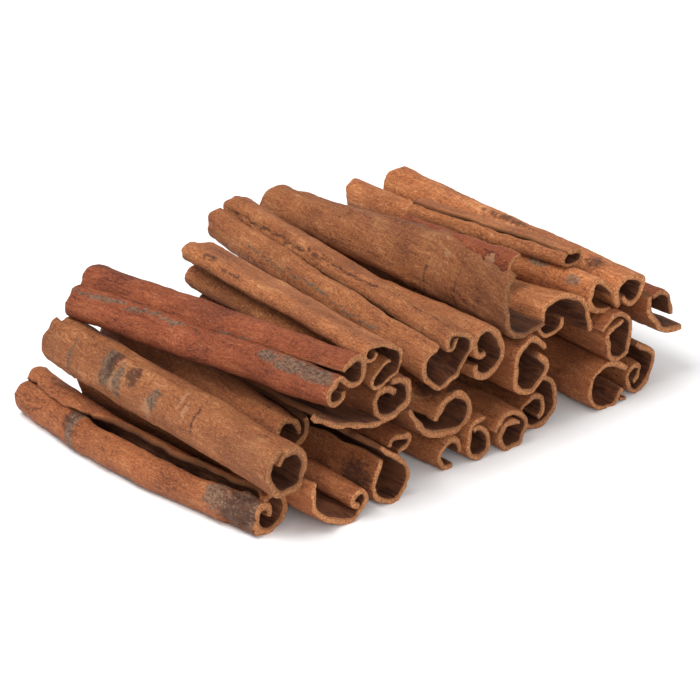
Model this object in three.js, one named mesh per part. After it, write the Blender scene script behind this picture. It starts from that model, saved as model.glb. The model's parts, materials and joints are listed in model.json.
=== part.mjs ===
// A loose stack of cinnamon sticks lying side by side on a level surface.
// Millimetres, +Z up. The row of sticks runs along X; every stick lies along Y with its
// near end at the low-Y side. Each stick is one sheet of bark rolled up on itself.
import * as THREE from 'three';

const STICK_LENGTH = 80;     // a usual kitchen length, about three inches
const GAP = 0.3;             // clearance left between sticks that touch
const STATIONS = 5;          // cross-sections along one stick
const TURN_STEP = 36;        // largest turn, in degrees, between two points of a rolled wall
const CELL = 1;              // grid used when one stick is laid on the others
const LIP = 0.7;             // thickness of a free edge as a share of the wall

const rad = (degrees) => degrees * Math.PI / 180;

// The rolled sheet seen end on is a chain of bends and straight runs.
// A bend turns left when its angle is positive and right when it is negative.
const bend = (radius, angle) => ({ length: radius * Math.abs(rad(angle)), angle });
const run = (length) => ({ length, angle: 0 });

// Point and heading (radians) at a distance s along the rolled sheet.
function pointAt(head, chain, s) {
  let x = 0, z = 0, h = rad(head), left = s;
  for (const piece of chain) {
    const part = Math.min(left, piece.length);
    const turn = piece.length ? rad(piece.angle) * part / piece.length : 0;
    if (turn) {
      const radius = part / turn;
      x += radius * (Math.sin(h + turn) - Math.sin(h));
      z += radius * (Math.cos(h) - Math.cos(h + turn));
    } else {
      x += part * Math.cos(h);
      z += part * Math.sin(h);
    }
    h += turn;
    left -= part;
    if (left <= 0) break;
  }
  return { x, z, h };
}

// Distances along the sheet at which its wall gets a point.
function stopsAlong(chain) {
  const stops = [0];
  let s = 0;
  for (const piece of chain) {
    const parts = Math.max(1, Math.ceil(Math.abs(piece.angle) / TURN_STEP));
    for (let i = 1; i <= parts; i++) stops.push(s + piece.length * i / parts);
    s += piece.length;
  }
  return stops;
}

// Closed outline of the sheet: out along one face, back along the other.
// tighter turns every bend further without changing the sheet's length.
function outline(stick, tighter) {
  const { head, wall } = stick;
  const chain = stick.chain.map((piece) => ({ ...piece, angle: piece.angle * tighter }));
  const stops = stopsAlong(stick.chain);
  const last = stops.length - 1;
  const one = [], other = [];
  stops.forEach((s, i) => {
    const p = pointAt(head, chain, s);
    const half = wall / 2 * (i === 0 || i === last ? LIP : 1);
    one.push([p.x + half * Math.sin(p.h), p.z - half * Math.cos(p.h)]);
    other.push([p.x - half * Math.sin(p.h), p.z + half * Math.cos(p.h)]);
  });
  const loop = [...one, ...other.reverse()];
  const area = loop.reduce((sum, [x, z], i) => {
    const [u, w] = loop[(i + 1) % loop.length];
    return sum + x * w - u * z;
  }, 0);
  return area < 0 ? loop.reverse() : loop;
}

// Middle of the near-end outline, so that a stick is placed by the middle of its end.
function middle(loop) {
  const xs = loop.map((p) => p[0]), zs = loop.map((p) => p[1]);
  return [(Math.min(...xs) + Math.max(...xs)) / 2, (Math.min(...zs) + Math.max(...zs)) / 2];
}

// Rings of points from the near end to the far end, before the stick is laid at its height.
function rings(stick) {
  const { at: [x0, y0], drift = 0, length = STICK_LENGTH, far = 1, bow = 0, roll = 1 } = stick;
  return Array.from({ length: STATIONS }, (_, k) => {
    const t = k / (STATIONS - 1);
    const scale = 1 + (far - 1) * t;
    const arch = 4 * t * (1 - t);
    const loop = outline(stick, 1 + (roll - 1) * t);
    const [mx, mz] = middle(loop);
    return loop.map(([x, z]) => [
      x0 + (x - mx) * scale + drift * t + bow * arch,
      y0 + length * t,
      (z - mz) * scale,
    ]);
  });
}

// Triangles of a stick as index triples into its points, rings first to last.
function faces(loops) {
  const n = loops[0].length;
  const out = [];
  for (let k = 0; k < loops.length - 1; k++) {
    for (let i = 0; i < n; i++) {
      const j = (i + 1) % n, a = k * n, b = a + n;
      out.push([a + i, b + i, a + j], [a + j, b + i, b + j]);
    }
  }
  const cap = (loop) => THREE.ShapeUtils.triangulateShape(
    loop.map(([x, , z]) => new THREE.Vector2(x, z)), []);
  for (const [a, b, c] of cap(loops[0])) out.push([a, b, c]);
  const base = (loops.length - 1) * n;
  for (const [a, b, c] of cap(loops[loops.length - 1])) {
    out.push([base + a, base + c, base + b]);
  }
  return out;
}

// Calls visit(cellX, cellY, z) for every grid cell a triangle covers, seen from above.
function overCells(p, q, r, visit) {
  const x1 = Math.ceil(Math.min(p[0], q[0], r[0]) / CELL);
  const x2 = Math.floor(Math.max(p[0], q[0], r[0]) / CELL);
  const y1 = Math.ceil(Math.min(p[1], q[1], r[1]) / CELL);
  const y2 = Math.floor(Math.max(p[1], q[1], r[1]) / CELL);
  const det = (q[0] - p[0]) * (r[1] - p[1]) - (r[0] - p[0]) * (q[1] - p[1]);
  if (Math.abs(det) < 1e-9) return;
  for (let i = x1; i <= x2; i++) {
    for (let j = y1; j <= y2; j++) {
      const dx = i * CELL - p[0], dy = j * CELL - p[1];
      const u = (dx * (r[1] - p[1]) - (r[0] - p[0]) * dy) / det;
      const v = ((q[0] - p[0]) * dy - dx * (q[1] - p[1])) / det;
      if (u < -1e-6 || v < -1e-6 || u + v > 1 + 1e-6) continue;
      visit(i, j, p[2] + u * (q[2] - p[2]) + v * (r[2] - p[2]));
    }
  }
}

// Lays a stick on whatever is already in the pile: finds, slice by slice along the stick, how
// high it must be to clear the pile, then takes the line that rests on both sides of its middle.
function restingLine(points, triangles, pile) {
  const lowest = new Map();
  for (const [a, b, c] of triangles) {
    overCells(points[a], points[b], points[c], (i, j, z) => {
      const key = i + ',' + j;
      if (!(lowest.get(key)?.z <= z)) lowest.set(key, { z, j });
    });
  }
  const need = new Map();
  for (const [key, { z, j }] of lowest) {
    const under = pile.has(key) ? pile.get(key) + GAP : 0;
    need.set(j, Math.max(need.get(j) ?? -Infinity, under - z));
  }
  for (const [, y, z] of points) {
    const j = Math.round(y / CELL);
    if (need.has(j)) need.set(j, Math.max(need.get(j), -z));
  }
  const slices = [...need].sort((a, b) => a[0] - b[0]);
  const centre = (slices[0][0] + slices[slices.length - 1][0]) / 2;
  const hull = [];
  for (const s of slices) {
    while (hull.length > 1) {
      const [a, b] = hull.slice(-2);
      if ((b[0] - a[0]) * (s[1] - a[1]) - (s[0] - a[0]) * (b[1] - a[1]) < 0) break;
      hull.pop();
    }
    hull.push(s);
  }
  const next = hull.findIndex((s) => s[0] > centre);
  const [a, b] = [hull[next - 1], hull[next]];
  const slope = (b[1] - a[1]) / (b[0] - a[0]) / CELL;
  return { slope, height: a[1] - slope * a[0] * CELL };
}

// Adds the upper side of a placed stick to the pile.
function heap(points, triangles, pile) {
  for (const [a, b, c] of triangles) {
    overCells(points[a], points[b], points[c], (i, j, z) => {
      const key = i + ',' + j;
      if (!(pile.get(key) >= z)) pile.set(key, z);
    });
  }
}

// The sticks in the order they are laid down.
//   at      middle of the near end across the row, and its place along Y
//   length  along Y, where it is not STICK_LENGTH
//   drift   sideways run of the far end
//   far     size of the far end against the near end
//   lift    extra height of the near and far ends, for a stick wedged between its neighbours
//   wall    thickness of the bark
//   head    direction in which the rolled sheet sets out, seen from the near end
//   chain   bends and runs of the rolled sheet
//   bow     sideways swing of the stick half-way along
//   roll    how much tighter the far end is rolled than the near end
const sticks = [
  // on the table, left to right
  { name: 'stick_01', bark: 'brown', at: [-16.9, 7], length: 83, drift: 2, far: 1.05, wall: 1.4,
    head: 25, bow: -4,
    chain: [bend(3.2, -105), run(0.6), bend(4.3, -100), run(1), bend(3.9, -95), bend(2.7, -95),
      bend(1.5, -120)] },
  { name: 'stick_10', bark: 'brown', at: [-3.5, -2], drift: 1, wall: 1.3, head: 266,
    chain: [run(3), bend(8, 62), run(2), bend(12, 32), bend(6, 40), bend(3.2, 60), bend(2.4, 100),
      bend(2, 80), bend(1.7, 90)] },
  { name: 'stick_09', bark: 'brown', at: [13, -1.5], drift: 1, wall: 1.2, head: 245,
    chain: [run(3.5), bend(8, 25), bend(5.6, 90), bend(5.2, 90), bend(5, 50), run(10)] },
  { name: 'stick_14', bark: 'tan', at: [34.5, 2], wall: 1.3, head: 195,
    chain: [bend(3.3, -105), bend(3.5, -90), bend(3.3, -90), bend(2.6, -25)] },
  { name: 'stick_15', bark: 'tan', at: [42.5, 0.5], wall: 1.2, head: 180,
    chain: [run(2.3), bend(2.4, 80), run(3.5), bend(3.4, 100), bend(2.4, 90), run(1.5),
      bend(3.8, 55), run(0.9), bend(1.2, 70)] },
  { name: 'stick_16', bark: 'tan', at: [51.5, -0.5], wall: 1.3, head: 50,
    chain: [bend(6.5, -50), run(0.8), bend(4.4, -90), bend(3.9, -90), run(1), bend(3.3, -90),
      bend(3.1, -90), bend(5, -30)] },
  { name: 'stick_11', bark: 'brown', at: [63.4, 2.5], wall: 1.2, head: 5,
    chain: [bend(5.2, -95), run(1.5), bend(5.8, -90), bend(4.4, -90), bend(3.6, -90),
      bend(2.9, -90), bend(2.4, -80)] },
  { name: 'splinter', bark: 'red', at: [87.3, -0.5], length: 24, drift: -1, wall: 0.8, head: -20,
    chain: [run(1.8)] },
  { name: 'stick_28', bark: 'brown', at: [82.5, -1], wall: 1.2, head: 235,
    chain: [bend(6, -55), bend(5.2, -90), bend(5.2, -90), bend(5.5, -40), run(3.5)] },
  { name: 'stick_08', bark: 'tan', at: [93.6, 0.2], wall: 1.2, head: -35,
    chain: [run(5), bend(3.6, -60), run(1), bend(5.2, -85), bend(3.4, -90), run(1),
      bend(2.6, -90), bend(2, -110), bend(2.6, -60)] },
  // second layer
  { name: 'stick_12', bark: 'brown', at: [19.8, 3], drift: -1, lift: [0.4, 0.4], wall: 1.3,
    head: 75,
    chain: [bend(2.2, -90), run(3), bend(1.5, -160), run(3)] },
  { name: 'stick_13', bark: 'tan', at: [31.5, 2.5], length: 75, wall: 1.6, head: -58,
    chain: [run(6), bend(12, 56), run(1.5), bend(4.4, 90), bend(4.4, 90), bend(5, 40), run(2.5),
      bend(2, 45)] },
  { name: 'stick_29', bark: 'brown', at: [58.5, 0], wall: 1.4, head: 115,
    chain: [bend(4.8, 65), bend(4.9, 90), run(3), bend(5, 90), bend(4.8, 90), bend(3.4, 55),
      run(2)] },
  { name: 'stick_03', bark: 'brown', at: [-3, 15], length: 64, drift: 4, far: 0.9, lift: [6.6, 9],
    wall: 1.5, head: 70,
    chain: [bend(3.4, 110), bend(3.8, 90), bend(4.4, 90), bend(5.2, 80), bend(5, 35)] },
  { name: 'stick_02', bark: 'tan', at: [-17, 1], drift: 3, far: 0.9, lift: [0, 2], wall: 1.7,
    head: 200,
    chain: [bend(6, 70), bend(5.8, 90), bend(5.8, 60), bend(4.8, 120), bend(3.2, 75)] },
  { name: 'stick_27', bark: 'brown', at: [85, -1], wall: 1.1, head: 60,
    chain: [bend(5.2, -60), bend(3.8, -90), run(3), bend(4.1, -90), bend(3.3, -95), run(3.7),
      bend(1.2, -75), run(3.8)] },
  { name: 'stick_26', bark: 'brown', at: [101, 0], length: 66, drift: -5, lift: [6.4, 0.3],
    wall: 1.3, head: -82,
    chain: [run(3), bend(9, 22), run(2.5), bend(5, 55), run(3.5)] },
  { name: 'stick_25', bark: 'red', at: [102.5, 2], length: 58, drift: -3, lift: [2, 2], wall: 1.1,
    head: 20,
    chain: [run(1), bend(3.5, -110), run(3)] },
  // third layer
  { name: 'stick_07', bark: 'brown', at: [-1.4, -1.5], length: 34, drift: -4, lift: [5.2, 0.6],
    wall: 1.3, head: -52,
    chain: [bend(10, 28), run(7), bend(30, 10), run(5), bend(4, 35)] },
  { name: 'stick_17', bark: 'tan', at: [46.5, 1.5], far: 0.85, lift: [8.6, 7.5], wall: 1.6,
    head: 200,
    chain: [bend(2.4, -110), run(0.5), bend(3.2, -90), bend(4.4, -90), run(3), bend(4.6, -90),
      bend(3.6, -90), run(0.8)] },
  { name: 'stick_22', bark: 'tan', at: [71.7, 2.6], length: 70, far: 0.75, lift: [5.7, 2.2],
    wall: 1.2, head: 88,
    chain: [bend(14, 25), bend(9, 60), run(1.5), bend(7, 20), bend(5, 80), bend(3.6, 90),
      bend(3.6, 85)] },
  { name: 'stick_24', bark: 'tan', at: [91, 1], length: 78, drift: -1, far: 0.85, wall: 1.4,
    head: 125,
    chain: [bend(4.2, -125), bend(3.6, -90), bend(3.4, -90), bend(2.5, -90)] },
  { name: 'stick_06', bark: 'brown', at: [15.6, 1], length: 64, drift: 4, lift: [3.2, 0],
    wall: 1.7, head: 145,
    chain: [run(2.3), bend(2.8, 65), bend(3.4, 55), bend(4, 95), run(2.9), bend(4, 90),
      bend(4.2, 80), run(2.3)] },
  { name: 'stick_18', bark: 'tan', at: [33.2, 1.2], drift: 5, far: 0.8, lift: [5.4, 1.6],
    wall: 1.2, head: 205,
    chain: [run(2.5), bend(3.8, 65), run(0.5), bend(3, 45), run(4), bend(1.8, 70), run(7.5),
      bend(3.4, 65), run(2), bend(2, 65), run(3.5), bend(2.4, 70), bend(2, 60), bend(1.6, 180)] },
  { name: 'stick_19', bark: 'tan', at: [57.4, 1.2], drift: -3, wall: 1.3, head: 205, roll: 2,
    chain: [bend(12, -25), bend(6.5, -90), run(2), bend(12, -40), run(3)] },
  { name: 'stick_21', bark: 'tan', at: [82.5, 2], drift: -2.8, far: 0.8, wall: 1.2, head: 184,
    chain: [run(2.5), bend(3.6, -80), run(2), bend(2.6, -115), bend(2, -45), run(5)] },
  { name: 'stick_05', bark: 'tan', at: [12.5, 0.5], length: 66, drift: 3.5, wall: 0.9, head: -80,
    chain: [bend(1.3, -100), bend(1.5, -180), bend(3, -35), run(6), bend(5, -50), bend(2.6, -80),
      run(5), bend(2.6, -100), bend(2.2, -85), run(3), bend(2, -60)] },
  { name: 'stick_04', bark: 'red', at: [0.8, 0.5], drift: -8, lift: [0, 0.2], wall: 1.4,
    head: 62,
    chain: [run(1.5), bend(2.6, -152), run(0.8), bend(2.8, -134), run(2.9), bend(0.9, 91),
      run(3.2), bend(2.4, 85), bend(2.6, 75), bend(2.2, 60), run(0.4)] },
  { name: 'stick_20', bark: 'red', at: [67, 15], length: 38, lift: [3.6, 5.5], wall: 1.2,
    head: 100,
    chain: [run(1), bend(4, -90)] },
  { name: 'stick_23', bark: 'tan', at: [82, 11], length: 46, drift: -6, wall: 0.9, head: -10,
    chain: [run(3), bend(1.6, -170), run(3.1), bend(1.4, -150), run(1)] },
];

const BARK = {
  tan: { color: 0xb07a4e, roughness: 0.85 },
  brown: { color: 0x96603a, roughness: 0.85 },
  red: { color: 0x9a5533, roughness: 0.85 },
};

const pile = new Map();
const laid = sticks.map((stick) => {
  const loops = rings(stick);
  const triangles = faces(loops);
  const points = loops.flat();
  const { slope, height } = restingLine(points, triangles, pile);
  const [liftNear, liftFar] = stick.lift ?? [0, 0];
  const start = points[0][1], span = points[points.length - 1][1] - start;
  for (const p of points) {
    p[2] += height + slope * p[1] + liftNear + (liftFar - liftNear) * (p[1] - start) / span;
  }
  heap(points, triangles, pile);
  return { stick, points, triangles };
});

// The whole stack is centred on the middle of its footprint, with the table at Z = 0.
const whole = new THREE.Box3().setFromArray(laid.flatMap(({ points }) => points.flat()));
const centre = whole.getCenter(new THREE.Vector3());

const group = new THREE.Group();
for (const { stick, points, triangles } of laid) {
  const geometry = new THREE.BufferGeometry();
  geometry.setAttribute('position', new THREE.Float32BufferAttribute(points.flat(), 3));
  geometry.setIndex(triangles.flat());
  geometry.translate(-centre.x, -centre.y, -whole.min.z);
  geometry.computeVertexNormals();
  const material = new THREE.MeshStandardMaterial({ ...BARK[stick.bark], metalness: 0 });
  material.name = stick.bark;
  const mesh = new THREE.Mesh(geometry, material);
  mesh.name = stick.name;
  group.add(mesh);
}

export default group;
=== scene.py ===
"""A loose stack of cinnamon sticks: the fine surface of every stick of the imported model.

Each stick is one sheet of bark rolled up on itself. Its profile is the chain of bends and runs
that the solid model uses; here it is drawn finely, with a wavy wall, frayed edges, rough cut
ends and bark relief, and is coloured by its own measures: millimetres along the stick and
millimetres along the rolled sheet.
"""
import json
import math
from types import SimpleNamespace
import bpy
import numpy as np
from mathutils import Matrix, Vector


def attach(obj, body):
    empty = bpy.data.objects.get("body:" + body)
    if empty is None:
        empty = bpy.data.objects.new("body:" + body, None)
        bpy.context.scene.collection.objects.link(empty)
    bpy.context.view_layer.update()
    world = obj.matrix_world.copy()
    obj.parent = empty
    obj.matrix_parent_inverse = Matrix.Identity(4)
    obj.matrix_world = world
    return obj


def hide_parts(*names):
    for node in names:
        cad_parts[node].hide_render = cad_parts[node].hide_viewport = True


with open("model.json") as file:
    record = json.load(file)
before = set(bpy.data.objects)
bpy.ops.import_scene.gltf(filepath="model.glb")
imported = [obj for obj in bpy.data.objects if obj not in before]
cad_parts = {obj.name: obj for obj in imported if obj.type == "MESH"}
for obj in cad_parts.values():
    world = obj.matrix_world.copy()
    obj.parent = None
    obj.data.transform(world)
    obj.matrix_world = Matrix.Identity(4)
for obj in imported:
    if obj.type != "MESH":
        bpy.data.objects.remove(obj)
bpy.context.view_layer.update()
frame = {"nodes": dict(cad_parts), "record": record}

MM = 0.001
STEP_ALONG = 1.0     # mm between stations along a stick
STEP_ROUND = 0.6     # mm between points along the rolled sheet
SOFTEN = 0.7         # mm over which one bend runs into the next
ACROSS = 3           # rows of points across a cut end
THICKER = 1.22       # bark thickness against the solid model's
LIP = 0.85           # thickness of a free edge as a share of the wall
LIP_WIDTH = 1.5      # mm over which a free edge thins
WAVE = 0.34          # mm that the whole sheet waves in and out
ROUGH_CUT = 0.22     # mm of roughness on a cut end


# ---------------------------------------------------------------- smooth noise
def noise(x, y, seed, octaves=1):
    """Smooth noise about zero over a plane: one unit is one lattice cell of its first octave."""
    total, weight, size = 0.0, 1.0, 64
    for k in range(octaves):
        table = np.random.default_rng(seed * 7919 + k).uniform(-1, 1, (size, size))
        i, j = np.floor(x).astype(int), np.floor(y).astype(int)
        u, v = x - i, y - j
        u, v = u * u * (3 - 2 * u), v * v * (3 - 2 * v)
        i0, i1, j0, j1 = i % size, (i + 1) % size, j % size, (j + 1) % size
        low = table[i0, j0] * (1 - u) + table[i1, j0] * u
        high = table[i0, j1] * (1 - u) + table[i1, j1] * u
        total = total + weight * (low * (1 - v) + high * v)
        x, y, weight = x * 2.03 + 17, y * 2.03 + 31, weight * 0.5
    return total


# ---------------------------------------------------------------- the rolled sheets
def bend(radius, angle):
    """A stretch of the sheet that turns by an angle in degrees: its length and its turning."""
    return radius * abs(math.radians(angle)), math.radians(angle)


def run(length):
    """A flat stretch of the sheet."""
    return length, 0.0


# Options of a stick, besides wall, head, far, bow, roll and chain, which are the solid's:
#   torn        how ragged the start edge and the end edge of the sheet are, mm
#   start, end  how far each edge draws back: (share of the length, mm) pairs
#   thin        thickness of the start edge against LIP, away from the near end
#   swap        distance along the sheet where the bark face changes sides
#   tone        brightness at the near end and at the far end: own colour, partly painted light and shade
#   marks       patches: (kind, mm along the stick, mm along the sheet, reach, reach)
#   lines       long marks: (kind, half width, points along the line)
# Kinds of mark: grey cork, pale scrape, dark stains, raised ring, lumpy knot and groove; a groove
# is also painted dark, as painted shade in its hollow.
# The sticks come in the order in which the pile is laid, and a stick's place in that order seeds
# its noise.
STICKS = {
    "stick_01": dict(wall=1.4, far=1.05, head=25, bow=-4, tone=(1.22, 1.18), torn=(1.3, 0.3),
        start=[(0, 0), (0.1, 0.5), (0.3, 3), (0.5, 2.5), (0.7, 0.5), (0.8, -1.5), (1, -2)],
        end=[(0, 0), (0.15, 0), (0.3, 3), (0.5, 2.5), (0.72, 0), (1, 0)],
        marks=[("grey", 60.5, 23, 1.6, 6), ("ring", 60.5, 22, 4, 9), ("ring", 12, 22, 4, 8),
               ("ring", 75, 23, 3, 8), ("knot", 4.5, 22.5, 6, 5), ("grey", 12, 24, 3, 3),
               ("dark", 3, 21.5, 3, 3), ("dark", 62, 25, 2, 3)],
        chain=[bend(3.2, -105), run(0.6), bend(4.3, -100), run(1), bend(3.9, -95), bend(2.7, -95),
               bend(1.5, -120)]),
    "stick_10": dict(wall=1.3, head=266, tone=(1.3, 1.1),
        chain=[run(3), bend(8, 62), run(2), bend(12, 32), bend(6, 40), bend(3.2, 60),
               bend(2.4, 100), bend(2, 80), bend(1.7, 90)]),
    "stick_09": dict(wall=1.2, head=245, tone=(1.2, 1.05), torn=(0.4, 0.9),
        marks=[("dark", 6, 6, 5, 4)],
        chain=[run(3.5), bend(8, 25), bend(5.6, 90), bend(5.2, 90), bend(5, 50), run(10)]),
    "stick_14": dict(wall=1.3, head=195, tone=(1.1, 1.0),
        chain=[bend(3.3, -105), bend(3.5, -90), bend(3.3, -90), bend(2.6, -25)]),
    "stick_15": dict(wall=1.2, head=180, tone=(1.1, 1.0),
        chain=[run(2.3), bend(2.4, 80), run(3.5), bend(3.4, 100), bend(2.4, 90), run(1.5),
               bend(3.8, 55), run(0.9), bend(1.2, 70)]),
    "stick_16": dict(wall=1.3, head=50, tone=(1.05, 1.0),
        chain=[bend(6.5, -50), run(0.8), bend(4.4, -90), bend(3.9, -90), run(1), bend(3.3, -90),
               bend(3.1, -90), bend(5, -30)]),
    "stick_11": dict(wall=1.2, head=5,
        chain=[bend(5.2, -95), run(1.5), bend(5.8, -90), bend(4.4, -90), bend(3.6, -90),
               bend(2.9, -90), bend(2.4, -80)]),
    "splinter": dict(wall=0.8, head=-20,
        chain=[run(1.8)]),
    "stick_28": dict(wall=1.2, head=235, tone=(1.2, 1.05),
        chain=[bend(6, -55), bend(5.2, -90), bend(5.2, -90), bend(5.5, -40), run(3.5)]),
    "stick_08": dict(wall=1.2, head=-35, tone=(1.1, 1.0),
        chain=[run(5), bend(3.6, -60), run(1), bend(5.2, -85), bend(3.4, -90), run(1),
               bend(2.6, -90), bend(2, -110), bend(2.6, -60)]),
    "stick_12": dict(wall=1.3, head=75, tone=(1.15, 1.0),
        chain=[bend(2.2, -90), run(3), bend(1.5, -160), run(3)]),
    "stick_13": dict(wall=1.6, head=-58, tone=(1.05, 0.95), torn=(0.6, 0.6),
        marks=[("dark", 6, 35, 4, 2.5), ("pale", 10, 38, 1.6, 1), ("dark", 12, 40, 3, 1.6),
               ("pale", 7, 33, 2, 0.8), ("dark", 1, 31, 2, 3)],
        chain=[run(6), bend(12, 56), run(1.5), bend(4.4, 90), bend(4.4, 90), bend(5, 40),
               run(2.5), bend(2, 45)]),
    "stick_29": dict(wall=1.4, head=115, tone=(1.15, 1.0),
        chain=[bend(4.8, 65), bend(4.9, 90), run(3), bend(5, 90), bend(4.8, 90), bend(3.4, 55),
               run(2)]),
    "stick_03": dict(wall=1.5, far=0.9, head=70, tone=(0.95, 0.95),
        chain=[bend(3.4, 110), bend(3.8, 90), bend(4.4, 90), bend(5.2, 80), bend(5, 35)]),
    "stick_02": dict(wall=1.7, far=0.9, head=200, tone=(0.88, 0.88), torn=(0.35, 0.5),
        marks=[("grey", 57.5, 3, 1.8, 6), ("grey", 53, 5.5, 1.4, 4), ("pale", 54.5, 7, 2, 3),
               ("grey", 40.5, 5, 1.8, 2.4), ("pale", 42, 7.5, 1.6, 2.4),
               ("pale", 32.4, 1.5, 0.6, 3), ("pale", 30, 4, 0.6, 2.4), ("dark", 26.3, 4, 0.5, 3),
               ("ring", 70, 6, 2, 9), ("grey", 70, 7, 0.7, 5), ("ring", 57, 4, 4, 8),
               ("dark", 49, 3, 2.4, 2.5), ("ring", 74, 6, 2, 9), ("ring", 66, 6, 1.2, 8),
               ("dark", 56, 2, 1.6, 5)],
        chain=[bend(6, 70), bend(5.8, 90), bend(5.8, 60), bend(4.8, 120), bend(3.2, 75)]),
    "stick_27": dict(wall=1.1, head=60, tone=(1.1, 1.0),
        chain=[bend(5.2, -60), bend(3.8, -90), run(3), bend(4.1, -90), bend(3.3, -95), run(3.7),
               bend(1.2, -75), run(3.8)]),
    "stick_26": dict(wall=1.3, head=-82, tone=(1.15, 1.05),
        chain=[run(3), bend(9, 22), run(2.5), bend(5, 55), run(3.5)]),
    "stick_25": dict(wall=1.1, head=20,
        chain=[run(1), bend(3.5, -110), run(3)]),
    # stick_07's lower brightness is painted shade: it lies in shadow below stick_04
    "stick_07": dict(wall=1.3, head=-52, tone=(0.95, 1),
        start=[(0, 0), (0.05, 4), (0.2, 12), (1, 18)],
        chain=[bend(10, 28), run(7), bend(30, 10), run(5), bend(4, 35)]),
    "stick_17": dict(wall=1.6, far=0.85, head=200, tone=(1.12, 1.0),
        chain=[bend(2.4, -110), run(0.5), bend(3.2, -90), bend(4.4, -90), run(3), bend(4.6, -90),
               bend(3.6, -90), run(0.8)]),
    "stick_22": dict(wall=1.2, far=0.75, head=88, tone=(1.3, 1.1),
        chain=[bend(14, 25), bend(9, 60), run(1.5), bend(7, 20), bend(5, 80), bend(3.6, 90),
               bend(3.6, 85)]),
    "stick_24": dict(wall=1.4, far=0.85, head=125, tone=(1.37, 1.37),
        marks=[("dark", 10, 8, 3, 1.6), ("ring", 74, 6.4, 1.5, 4), ("ring", 63, 5.4, 1.5, 4),
               ("dark", 40, 9, 8, 1)],
        chain=[bend(4.2, -125), bend(3.6, -90), bend(3.4, -90), bend(2.5, -90)]),
    "stick_06": dict(wall=1.7, head=145,
        chain=[run(2.3), bend(2.8, 65), bend(3.4, 55), bend(4, 95), run(2.9), bend(4, 90),
               bend(4.2, 80), run(2.3)]),
    "stick_18": dict(wall=1.2, far=0.8, head=205, tone=(1, 1), thin=0.6,
        marks=[("dark", 40, 8, 14, 1.2), ("ring", 30, 24, 1.2, 5)],
        lines=[("grey", 0.3, [(64, 8.4), (40.5, 5.8), (17, 4.7)]),
               ("groove", 0.45, [(1, 34), (23, 34.4), (36, 37.3), (57, 38), (77, 39)])],
        chain=[run(2.5), bend(3.8, 65), run(0.5), bend(3, 45), run(4), bend(1.8, 70), run(7.5),
               bend(3.4, 65), run(2), bend(2, 65), run(3.5), bend(2.4, 70), bend(2, 60),
               bend(1.6, 180)]),
    "stick_19": dict(wall=1.3, head=205, roll=2, tone=(0.68, 0.9), torn=(0.4, 0.8),
        end=[(0, 3.2), (0.2, 4.4), (0.45, 4), (0.7, 1), (1, 0)],
        marks=[("ring", 9, 17, 1.5, 8), ("ring", 15, 14, 1.5, 7), ("ring", 22, 15, 2, 7),
               ("ring", 33, 14, 1.2, 7), ("ring", 72, 14, 2, 8), ("ring", 79, 11, 1.5, 7),
               ("pale", 23.2, 20.5, 1.5, 0.8), ("dark", 9.5, 14, 0.5, 9),
               ("dark", 17, 12, 0.4, 8), ("dark", 27, 13, 0.4, 8)],
        chain=[bend(12, -25), bend(6.5, -90), run(2), bend(12, -40), run(3)]),
    "stick_21": dict(wall=1.2, far=0.8, head=184, tone=(1.34, 1.34),
        marks=[("grey", 17, 12.7, 3, 0.8), ("grey", 6, 12, 2, 1.2)],
        chain=[run(2.5), bend(3.6, -80), run(2), bend(2.6, -115), bend(2, -45), run(5)]),
    "stick_05": dict(wall=0.9, head=-80, tone=(1.08, 1.08),
        marks=[("dark", 57, 7.3, 3, 0.7), ("dark", 48, 6.2, 4, 0.5), ("ring", 62, 8, 1.5, 5)],
        chain=[bend(1.3, -100), bend(1.5, -180), bend(3, -35), run(6), bend(5, -50),
               bend(2.6, -80), run(5), bend(2.6, -100), bend(2.2, -85), run(3), bend(2, -60)]),
    "stick_04": dict(wall=1.4, head=62, swap=17.9, tone=(1.02, 1.02), thin=0.3,
        start=[(0, 0), (0.3, -0.5), (0.5, -2.5), (1, -3.5)],
        marks=[("grey", 5, 20.8, 5, 1.9), ("grey", 13, 20.8, 6, 1.6), ("grey", 20, 20.4, 3, 1.1)],
        lines=[("grey", 0.45, [(30, -0.4), (41, -1.8), (69, -2.6), (79, -2.8)]),
               ("grey", 0.4, [(46, 20.4), (79, 20.4)])],
        chain=[run(1.5), bend(2.6, -152), run(0.8), bend(2.8, -134), run(2.9), bend(0.9, 91),
               run(3.2), bend(2.4, 85), bend(2.6, 75), bend(2.2, 60), run(0.4)]),
    "stick_20": dict(wall=1.2, head=100, tone=(1.1, 1.1),
        marks=[("pale", 6, 4, 1.5, 1)],
        chain=[run(1), bend(4, -90)]),
    "stick_23": dict(wall=0.9, head=-10, tone=(1.15, 1.15),
        chain=[run(3), bend(1.6, -170), run(3.1), bend(1.4, -150), run(1)]),
}


def sheet_width(stick):
    """Length of the rolled sheet along its profile, mm."""
    return sum(length for length, _ in stick["chain"])


def sheet_path(stick, s, tighter):
    """Points (x, z) at distances s along the rolled sheet, its bends run into each other."""
    fine = np.linspace(-5, sheet_width(stick) + 5, 1200)
    step = fine[1] - fine[0]
    curve = np.zeros_like(fine)
    start = 0.0
    for length, angle in stick["chain"]:
        inside = (fine >= start) & (fine < start + length)
        curve[inside] = angle * tighter / length
        start += length
    reach = int(3 * SOFTEN / step)
    window = np.exp(-0.5 * (np.arange(-reach, reach + 1) * step / SOFTEN) ** 2)
    curve = np.convolve(np.pad(curve, reach, mode="edge"), window / window.sum(), "valid")
    heading = math.radians(stick["head"]) + np.cumsum(curve) * step
    heading -= np.interp(0, fine, heading) - math.radians(stick["head"])
    x, z = np.cumsum(np.cos(heading)) * step, np.cumsum(np.sin(heading)) * step
    x, z = x - np.interp(0, fine, x), z - np.interp(0, fine, z)
    return np.stack([np.interp(s, fine, x), np.interp(s, fine, z)], -1)


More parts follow.
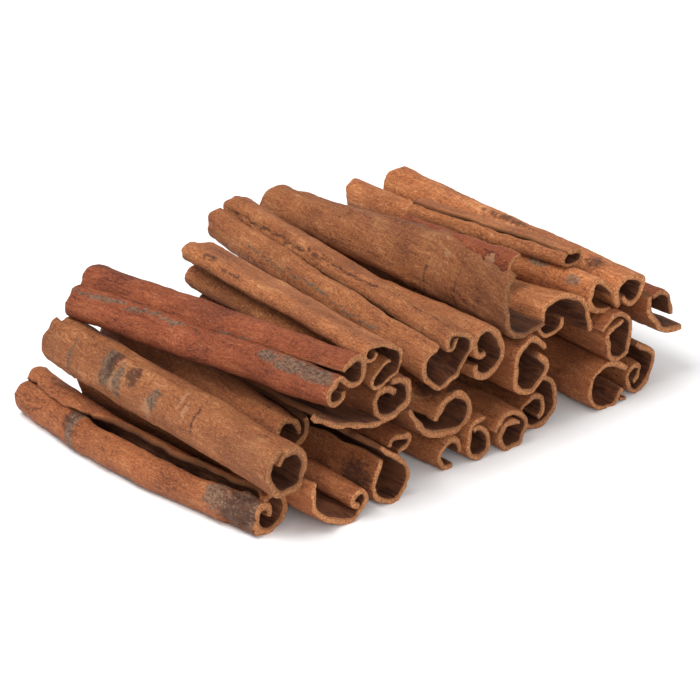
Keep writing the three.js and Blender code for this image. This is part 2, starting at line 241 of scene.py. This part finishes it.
def ring_middle(node, far_end):
    """Middle (x, z) in mm of a node's near or far end, and that end's place along Y."""
    points = np.array([v.co[:] for v in node.data.vertices]) / MM
    edge = points[:, 1].max() if far_end else points[:, 1].min()
    ring = points[np.abs(points[:, 1] - edge) < 0.05]
    return (ring.min(0) + ring.max(0))[[0, 2]] / 2, edge


def stations(length):
    """Places along a stick from 0 to its length, closer together just inside both ends."""
    inner = np.linspace(0.9, length - 0.9, max(4, round((length - 1.8) / STEP_ALONG)))
    close = np.array([0, 0.15, 0.45])
    return np.concatenate([close, inner, length - close[::-1]])


def sides(path, half):
    """The sheet's direction to the right, and its two faces, right and left."""
    along = np.gradient(path, axis=1)
    along /= np.linalg.norm(along, axis=2, keepdims=True)
    right = np.stack([along[..., 1], -along[..., 0]], -1)
    return right, path + right * half[..., None], path - right * half[..., None]


def edges(stick, y, t, index, total):
    """Where the sheet starts and ends at each station: torn, and drawn back where asked."""
    torn_start, torn_end = stick.get("torn", (0.35, 0.35))
    start = torn_start * noise(y / 6, y * 0 + 3, index, 4)
    end = total + torn_end * noise(y / 5, y * 0, index, 4)
    back = {}
    for edge in ("start", "end"):
        places, depths = zip(*stick.get(edge, [(0, 0), (1, 0)]))
        back[edge] = np.interp(t, places, depths)
    return start + back["start"], end - back["end"]


def middle_line(stick, near, far, s, t, total):
    """The sheet's middle surface, placed by the middle of each end as the solid is."""
    roll, shrink = stick.get("roll", 1), stick.get("far", 1)

    def middle(tighter):
        row = sheet_path(stick, np.linspace(0, total, s.shape[1]), tighter)[None]
        faces = sides(row, np.full(row.shape[:2], stick["wall"] / 2))[1:]
        outline = np.concatenate(faces, 1)[0]
        return (outline.min(0) + outline.max(0)) / 2

    path = np.stack([sheet_path(stick, row, 1 + (roll - 1) * k) for row, k in zip(s, t)])
    first = near - middle(1)
    last = far - shrink * middle(roll)
    along = t[:, None, None]
    path = path * (1 + (shrink - 1) * along) + first + (last - first) * along
    path[..., 0] += stick.get("bow", 0) * (4 * t * (1 - t))[:, None]
    return path


def wall_faces(stick, path, yy, ss, t, start, end, index):
    """The sheet's faces: an uneven wall, thinner at the free edges, rounded at the cut ends."""
    edge = np.minimum(ss - start[:, None], end[:, None] - ss)
    lip = np.full_like(ss, LIP)
    first_half = slice(0, ss.shape[1] // 2)
    thinner = stick.get("thin", 1) - 1
    lip[:, first_half] *= 1 + thinner * np.clip(t * 6 - 1.5, 0, 1)[:, None]
    half = stick["wall"] / 2 * THICKER * (1 + 0.2 * noise(yy / 9, ss / 2.4, index + 40, 3))
    half = half * (lip + (1 - lip) * np.clip(edge / LIP_WIDTH, 0, 1))
    half = half * (1 - 0.2 * np.exp(-np.minimum(yy, yy[-1] - yy) / 0.15))
    right = sides(path, half)[0]
    path = path + right * (WAVE * noise(yy / 14, ss / 5, index + 80, 2))[..., None]
    return sides(path, half)


def bark_side(stick, ss):
    """1 where the bark is on the sheet's right-hand face, 0 where it is on the left-hand one."""
    if "swap" in stick:
        return np.clip((ss - stick["swap"]) / 0.8 + 0.5, 0, 1)
    turning = sum(angle for _, angle in stick["chain"])
    return np.full_like(ss, turning > 0, dtype=float)


def mark_masks(stick, yy, ss, index):
    """For each kind of mark, 1 in its middle, fading to 0 past its reach."""
    kinds = ("grey", "pale", "dark", "ring", "knot", "groove")
    masks = {kind: np.zeros_like(ss) for kind in kinds}
    for kind, at_y, at_s, reach_y, reach_s in stick.get("marks", []):
        away = np.hypot((yy - at_y) / reach_y, (ss - at_s) / reach_s)
        masks[kind] = np.maximum(masks[kind], np.clip(1.6 - away, 0, 1))
    for kind, width, line in stick.get("lines", []):
        line_y, line_s = zip(*line)
        within = (yy > min(line_y) - 1) & (yy < max(line_y) + 1)
        wander = 0.5 * noise(yy / 2.5, yy * 0, index + 400, 2)
        away = np.abs(ss - np.interp(yy, line_y, line_s) - wander)
        masks[kind] = np.maximum(masks[kind], within * np.clip(1.6 - away / width, 0, 1))
    return masks


def relief(masks, yy, ss, index):
    """How far the bark face stands out, mm: folds, ridges, rings, crusts and knots."""
    height = 0.13 * noise(yy / 5, ss / 2.2, index + 120, 3)
    height += 0.06 * noise(yy / 14, ss / 0.9, index + 160, 2)
    height += 0.06 * noise(yy / 0.9, ss / 3.5, index + 200, 2)
    height += 0.10 * np.clip(noise(yy / 1.1, ss / 7, index + 210, 2) - 0.5, 0, 1)
    height += 0.16 * masks["grey"] * (1 + 1.2 * noise(yy / 0.9, ss / 0.9, index + 440, 2))
    height += 0.30 * masks["ring"] * (0.6 + noise(yy / 0.7, ss / 3, index + 480, 2))
    height += 1.10 * masks["knot"] * (0.3 + noise(yy / 3.2, ss / 1.8, index + 520, 3))
    height -= 0.75 * masks["groove"]
    return height


def uneven_ends(share, total, t, index):
    """How far the points near each end are pushed along the stick, so no end is quite square."""
    near = 0.5 * noise(share * total / 4, share * 0, index + 280, 3) * (1 - t[:, None]) ** 8
    far = 0.6 * noise(share * total / 3, share * 0, index + 320, 3) * t[:, None] ** 8
    return near + far


def around(one, other=None):
    """Rows that run along the sheet on one face and back on the other one."""
    return np.concatenate([one, (one if other is None else other)[:, ::-1]], 1)


def paint_values(stick, masks, inner, t):
    """At each point: inner face, cut and brightness (partly painted light and shade), then cork,
    scrape and dark marks (stains, and painted shade in grooves).
    """
    count = inner.shape[1] // 2
    cut = np.zeros_like(inner)
    cut[:, [0, count - 1, count, -1]] = np.clip(0.55 - t * 0.5, 0, 1)[:, None]
    cut[0] = cut[-1] = 1
    # brightness along the stick: its own colour, partly painted light and shade
    tone = np.broadcast_to(np.interp(t, (0, 1), stick.get("tone", (1, 1)))[:, None], cut.shape)
    grey = np.maximum(masks["grey"], masks["knot"] * 0.8)
    dark = np.maximum(masks["dark"], masks["knot"] * 0.85)
    # the groove is painted dark as well: painted shade in its hollow
    dark = np.maximum(dark, masks["groove"] * 0.9)
    spots = [around(mask) * (1 - inner) for mask in (grey, masks["pale"], dark)]
    return np.stack([inner, cut, tone] + spots, -1)


def side_faces(count, rows):
    """Quads between neighbouring rings, each of 2 * count points."""
    k = 2 * count
    m, i = np.meshgrid(np.arange(rows - 1), np.arange(k), indexing="ij")
    j = (i + 1) % k
    quads = np.stack([m * k + i, (m + 1) * k + i, (m + 1) * k + j, m * k + j], -1)
    return quads.reshape(-1, 4).tolist()


def end_faces(points, grain, paint, stick, index, count, rows):
    """Rough cut ends: rows of new points across the wall, and the faces between them."""
    k, total = 2 * count, sheet_width(stick)
    share = np.linspace(0, 1, count)
    faces = []
    for ring, sign in ((0, 1), (rows - 1, -1)):
        one, other = ring * k + np.arange(count), ring * k + k - 1 - np.arange(count)
        layers = [one]
        for row in range(1, ACROSS + 1):
            w = row / (ACROSS + 1)
            fresh = points[one] * (1 - w) + points[other] * w
            rough = noise(share * total / 0.9, share * 0 + row * 0.7, index + 360 + ring, 3)
            fresh[:, 1] += sign * ROUGH_CUT * (rough - 0.5)
            measures = grain[one] * (1 - w) + grain[other] * w
            measures[:, 2] = index * 13 + w * stick["wall"]
            bare = paint[one] * (1 - w) + paint[other] * w
            bare[:, 1] = 1
            bare[:, 3:] = 0
            layers.append(len(points) + np.arange(count))
            points, grain = np.concatenate([points, fresh]), np.concatenate([grain, measures])
            paint = np.concatenate([paint, bare])
        layers.append(other)
        for low, high in zip(layers, layers[1:]):
            quads = np.stack([low[:-1], high[:-1], high[1:], low[1:]], -1)
            faces += quads[:, ::-sign].tolist()
        for place, order in ((0, sign), (-1, -sign)):
            faces.append([int(layer[place]) for layer in layers][::order])
    return points, grain, paint, faces


def bark_mesh(name, points, grain, paint, faces):
    """A smooth mesh whose points carry their measures and their colouring."""
    mesh = bpy.data.meshes.new(name)
    mesh.from_pydata((points * MM).tolist(), [], faces)
    mesh.polygons.foreach_set("use_smooth", np.ones(len(mesh.polygons), bool))
    mesh.attributes.new("grain", "FLOAT_VECTOR", "POINT").data.foreach_set(
        "vector", grain.astype(np.float32).ravel())
    ones = np.ones((len(points), 1))
    for title, values in (("zone", paint[:, :3]), ("marks", paint[:, 3:])):
        mesh.attributes.new(title, "FLOAT_COLOR", "POINT").data.foreach_set(
            "color", np.concatenate([values, ones], 1).astype(np.float32).ravel())
    mesh.validate()
    return mesh


def make_stick(index, name):
    stick, node = STICKS[name], frame["nodes"][name]
    (near, y_near), (far, y_far) = ring_middle(node, False), ring_middle(node, True)
    total = sheet_width(stick)
    count = max(8, round(total / STEP_ROUND))
    y = stations(y_far - y_near)
    t = y / (y_far - y_near)
    share = np.linspace(0, 1, count)
    start, end = edges(stick, y, t, index, total)
    ss = start[:, None] + (end - start)[:, None] * share
    yy = np.broadcast_to(y[:, None], ss.shape)

    path = middle_line(stick, near, far, ss, t, total)
    right, one, other = wall_faces(stick, path, yy, ss, t, start, end, index)
    side = bark_side(stick, ss)
    masks = mark_masks(stick, yy, ss, index)
    bark = relief(masks, yy, ss, index)
    lining = 0.06 * noise(yy / 16, ss / 0.9, index + 240, 2)
    one = one + right * (lining + (bark - lining) * side)[..., None]
    other = other - right * (bark + (lining - bark) * side)[..., None]

    along = around(y_near + yy + uneven_ends(share, total, t, index))[..., None]
    across = around(one, other)
    points = np.concatenate([across[..., :1], along, across[..., 1:]], 2)
    inner = around(1 - side, side)
    grain = np.stack([around(yy), around(ss), inner * 40 + index * 13], -1)
    paint = paint_values(stick, masks, inner, t)
    rings = [values.reshape(-1, values.shape[-1]) for values in (points, grain, paint)]
    points, grain, paint, ends = end_faces(*rings, stick, index, count, len(y))
    mesh = bark_mesh(name + "_bark", points, grain, paint, side_faces(count, len(y)) + ends)
    piece = bpy.data.objects.new(name + "_bark", mesh)
    bpy.context.collection.objects.link(piece)
    return piece


# ---------------------------------------------------------------- materials
def colour(r, g, b):
    """An sRGB colour of 0 to 255 as the linear one the shader takes."""
    return tuple(((c / 255 + 0.055) / 1.055) ** 2.4 for c in (r, g, b)) + (1.0,)


CORK = colour(62, 46, 39), colour(126, 104, 84)
SCRAPE = colour(184, 142, 106)
# dark stain colour, also laid along grooves as painted shade
STAIN_AND_SHADE = colour(52, 31, 25)
LINING = colour(58, 29, 18), colour(118, 70, 44)
CUT = colour(110, 64, 40), colour(172, 112, 70), colour(204, 146, 98)
DUST = (0.62, 0.5, 0.4)      # linear, laid thinly over worn fibres


class Tree:
    """Short ways to put nodes into a material."""

    def __init__(self, name):
        self.material = bpy.data.materials.new(name)
        self.material.use_nodes = True
        self.nodes, self.links = self.material.node_tree.nodes, self.material.node_tree.links
        self.shader = self.nodes["Principled BSDF"]

    def add(self, kind, inputs=(), **settings):
        """A node with its settings, and its inputs given as values or as linked outputs."""
        node = self.nodes.new("ShaderNode" + kind)
        for key, value in settings.items():
            setattr(node, key, value)
        for key, value in dict(inputs).items():
            if isinstance(value, bpy.types.NodeSocket):
                self.links.new(value, node.inputs[key])
            else:
                node.inputs[key].default_value = value
        return node

    def channels(self, name):
        """The three values of one of the mesh's colour attributes."""
        source = self.add("Attribute", attribute_name=name).outputs["Color"]
        return self.add("SeparateColor", {0: source}).outputs[:3]

    def math(self, operation, a, b=0.0):
        return self.add("Math", {0: a, 1: b}, operation=operation).outputs[0]

    def total(self, *terms):
        """Sum of (value, weight) terms."""
        result = 0.0
        for value, weight in terms:
            result = self.math("ADD", self.math("MULTIPLY", value, weight), result)
        return result

    def vector(self, operation, a, b):
        return self.add("VectorMath", {0: a, 1: b}, operation=operation).outputs[0]

    def noise(self, vector, scale, detail=3.0, roughness=0.5, output="Fac"):
        scaled = self.vector("MULTIPLY", vector, scale)
        return self.add("TexNoise", {"Vector": scaled, "Scale": 1.0, "Detail": detail,
                                     "Roughness": roughness}).outputs[output]

    def ramp(self, value, low, high):
        """0 at low and 1 at high, with a soft start and end."""
        return self.add("MapRange", {"Value": value, "From Min": low, "From Max": high},
                        interpolation_type="SMOOTHSTEP").outputs["Result"]

    def mix(self, factor, a, b, share=1.0):
        if share != 1.0:
            factor = self.math("MULTIPLY", factor, share)
        return self.add("Mix", {0: factor, 6: a, 7: b}, data_type="RGBA").outputs[2]


def bark_patterns(tree):
    """The noise patterns of the bark, in mm along the stick and mm along the sheet."""
    grain = tree.add("Attribute", attribute_name="grain").outputs["Vector"]
    # the grain wanders instead of running dead straight
    wander = tree.noise(grain, (0.07, 0.12, 1), 2.0, output="Color")
    sway = tree.vector("MULTIPLY", tree.vector("SUBTRACT", wander, (0.5, 0.5, 0.5)), (0, 5.0, 0))
    wavy = tree.vector("ADD", grain, sway)
    return SimpleNamespace(
        blotch=tree.noise(grain, (0.09, 0.15, 1), 5, 0.62),
        streak=tree.noise(wavy, (0.10, 1.1, 1), 5, 0.65),
        fibre=tree.noise(wavy, (0.40, 4.0, 1), 3, 0.6),
        mottle=tree.noise(grain, (0.8, 1.4, 1), 5, 0.72),
        fleck=tree.noise(grain, (2.4, 3.2, 1), 3, 0.6),
        pores=tree.noise(wavy, (1.3, 3.4, 1), 4, 0.8),
        rings=tree.noise(grain, (1.5, 0.16, 1), 4, 0.65),
        field=tree.noise(grain, (0.06, 0.10, 1), 2, 0.5),
        tongues=tree.noise(grain, (0.40, 0.75, 1), 4, 0.6),
        crust=tree.noise(grain, (1.0, 1.6, 1), 4, 0.75),
        sand=tree.noise(grain, (2.0, 2.0, 2.0), 3, 0.7))


def clean_bark(tree, noises, dark, mid, light, ringed):
    """The outer face: three tones of bark, dark rings and pits, worn and bright fibres."""
    grime = tuple(c * 0.42 for c in dark[:3]) + (1,)
    bright = tuple(1.25 * c for c in light[:3]) + (1,)
    worn = tuple(0.5 * (c + 0.62 * d) for c, d in zip(light[:3], DUST)) + (1,)
    shade = tree.total((noises.blotch, 0.30), (noises.streak, 0.24), (noises.mottle, 0.26),
                       (noises.fibre, 0.20))
    ringed_fields = tree.math("MULTIPLY", tree.ramp(noises.rings, 0.56, 0.66),
                              tree.ramp(noises.field, 0.62, 0.44))
    skin = tree.mix(tree.ramp(shade, 0.40, 0.50), dark, mid)
    skin = tree.mix(tree.ramp(shade, 0.50, 0.60), skin, light)
    skin = tree.mix(tree.ramp(noises.field, 0.50, 0.66), skin, dark, 0.40)
    skin = tree.mix(ringed_fields, skin, grime, ringed)
    skin = tree.mix(tree.ramp(noises.fleck, 0.62, 0.70), skin, grime, 0.62)
    skin = tree.mix(tree.ramp(noises.fibre, 0.62, 0.72), skin, worn, 0.32)
    skin = tree.mix(tree.ramp(noises.pores, 0.49, 0.36), skin, grime, 0.52)
    return tree.mix(tree.ramp(noises.pores, 0.52, 0.64), skin, bright, 0.42)


def marked_bark(tree, noises, skin):
    """Scrapes, cork, stains and painted shade in grooves laid over the bark, with coarse tongues
    and fine crumbs.
    """
    grey, pale, stain_and_shade = tree.channels("marks")
    ragged = tree.total((noises.tongues, 1.8), (noises.mottle, 1.6), (noises.fleck, 0.6))

    def spread(mask, soft):
        return tree.ramp(tree.math("ADD", mask, ragged), 2.62 - soft, 2.62 + soft)

    crumbs = tree.total((noises.crust, 0.7), (noises.fleck, 0.3))
    cork = tree.mix(tree.ramp(crumbs, 0.40, 0.60), *CORK)
    skin = tree.mix(spread(pale, 0.2), skin, SCRAPE, 0.50)
    skin = tree.mix(spread(grey, 0.22), skin, cork, 0.82)
    # dark marks: stains, and painted shade along grooves
    solid = tree.math("SUBTRACT", tree.math("ADD", stain_and_shade, 3.9), ragged)
    return tree.mix(tree.ramp(solid, 2.25, 2.95), skin, STAIN_AND_SHADE, 0.75)


def lining_bark(tree, noises):
    """The smoother, darker inner face."""
    shade = tree.total((noises.streak, 0.4), (noises.fibre, 0.25), (noises.blotch, 0.35))
    return tree.mix(tree.ramp(shade, 0.40, 0.60), *LINING)


def cut_bark(tree, grit):
    """The pale, gritty face of a cut or torn edge."""
    face = tree.mix(tree.ramp(grit, 0.38, 0.50), CUT[0], CUT[1])
    return tree.mix(tree.ramp(grit, 0.50, 0.62), face, CUT[2])


def bark_material(name, dark, mid, light, ringed):
    tree = Tree(name)
    noises = bark_patterns(tree)
    inner, cut, tone = tree.channels("zone")
    grit = tree.total((noises.sand, 0.6), (noises.fleck, 0.4))
    outer = marked_bark(tree, noises, clean_bark(tree, noises, dark, mid, light, ringed))
    base = tree.mix(inner, outer, lining_bark(tree, noises))
    base = tree.mix(cut, base, cut_bark(tree, grit))
    # each stick's brightness scales the colour: partly its own colour, partly painted light and
    # shade
    base = tree.add("VectorMath", {0: base, "Scale": tone}, operation="SCALE").outputs[0]
    height = tree.total((noises.streak, 0.6), (noises.fibre, 0.30), (noises.mottle, 0.75),
                        (noises.fleck, 0.35), (noises.pores, 1.0), (noises.rings, 0.35),
                        (tree.math("MULTIPLY", grit, cut), 0.9))
    bump = tree.add("Bump", {"Height": height, "Strength": 0.9, "Distance": 0.45 * MM})
    tree.links.new(bump.outputs[0], tree.shader.inputs["Normal"])
    tree.links.new(base, tree.shader.inputs["Base Color"])
    tree.shader.inputs["Roughness"].default_value = 0.74
    tree.shader.inputs["Specular IOR Level"].default_value = 0.25
    return tree.material


MATERIALS = {
    "tan_bark": bark_material("tan_bark", colour(108, 58, 34), colour(156, 93, 54),
                              colour(190, 130, 84), 0.45),
    "brown_bark": bark_material("brown_bark", colour(92, 48, 28), colour(142, 81, 46),
                                colour(174, 112, 70), 0.35),
    "red_bark": bark_material("red_bark", colour(78, 34, 21), colour(132, 66, 38),
                              colour(160, 92, 58), 0.12),
}

slots = {part["node"]: part["material_slot"] for part in frame["record"]["subparts"]}
for index, name in enumerate(STICKS):
    piece = make_stick(index, name)
    piece.data.materials.append(MATERIALS[slots[name]])
    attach(piece, "root")
    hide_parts(name)


# ---------------------------------------------------------------- floor, light and camera
AZIMUTH, ELEVATION = math.radians(-43), math.radians(27)
AIM = Vector((-39.0, -44.0, 42.8)) * MM
VIEW_WIDTH = 159.1 * MM
LENS, SENSOR = 800, 36       # mm; with a lens this long the view is almost parallel
FLOOR_WIDTH = 4.0            # m
SKY = 0.75                   # strength of the white world


def pale_floor():
    bpy.ops.mesh.primitive_plane_add(size=FLOOR_WIDTH)
    floor = bpy.context.object
    floor.name = "floor"
    pale = Tree("pale_floor")
    pale.shader.inputs["Base Color"].default_value = (0.9, 0.9, 0.9, 1)
    pale.shader.inputs["Roughness"].default_value = 0.9
    floor.data.materials.append(pale.material)
    return floor


def white_world():
    world = bpy.data.worlds.new("studio")
    world.use_nodes = True
    background = world.node_tree.nodes["Background"]
    background.inputs["Color"].default_value = (1, 1, 1, 1)
    background.inputs["Strength"].default_value = SKY
    return world


def soft_light(name, place, size, power):
    """A square light at a place in metres, turned towards the stack."""
    light = bpy.data.lights.new(name, "AREA")
    light.size, light.energy = size, power
    lamp = bpy.data.objects.new(name, light)
    lamp.location = place
    lamp.rotation_euler = (-Vector(place)).to_track_quat("-Z", "Y").to_euler()
    bpy.context.collection.objects.link(lamp)


def long_camera():
    camera = bpy.data.cameras.new("camera")
    camera.lens, camera.sensor_width, camera.clip_end = LENS, SENSOR, 20
    eye = bpy.data.objects.new("camera", camera)
    back = Vector((math.sin(AZIMUTH) * math.cos(ELEVATION),
                   -math.cos(AZIMUTH) * math.cos(ELEVATION), math.sin(ELEVATION)))
    eye.location = AIM + back * (VIEW_WIDTH * LENS / SENSOR)
    eye.rotation_mode = "QUATERNION"
    eye.rotation_quaternion = (-back).to_track_quat("-Z", "Y")
    bpy.context.collection.objects.link(eye)
    return eye


pale_floor()
bpy.context.scene.world = white_world()
soft_light("key", (-0.35, 0.1, 0.75), 0.45, 6.0)
soft_light("front", (-0.35, -0.8, 0.35), 0.5, 3.3)
bpy.context.scene.camera = long_camera()
bpy.context.scene.view_settings.view_transform = "Standard"
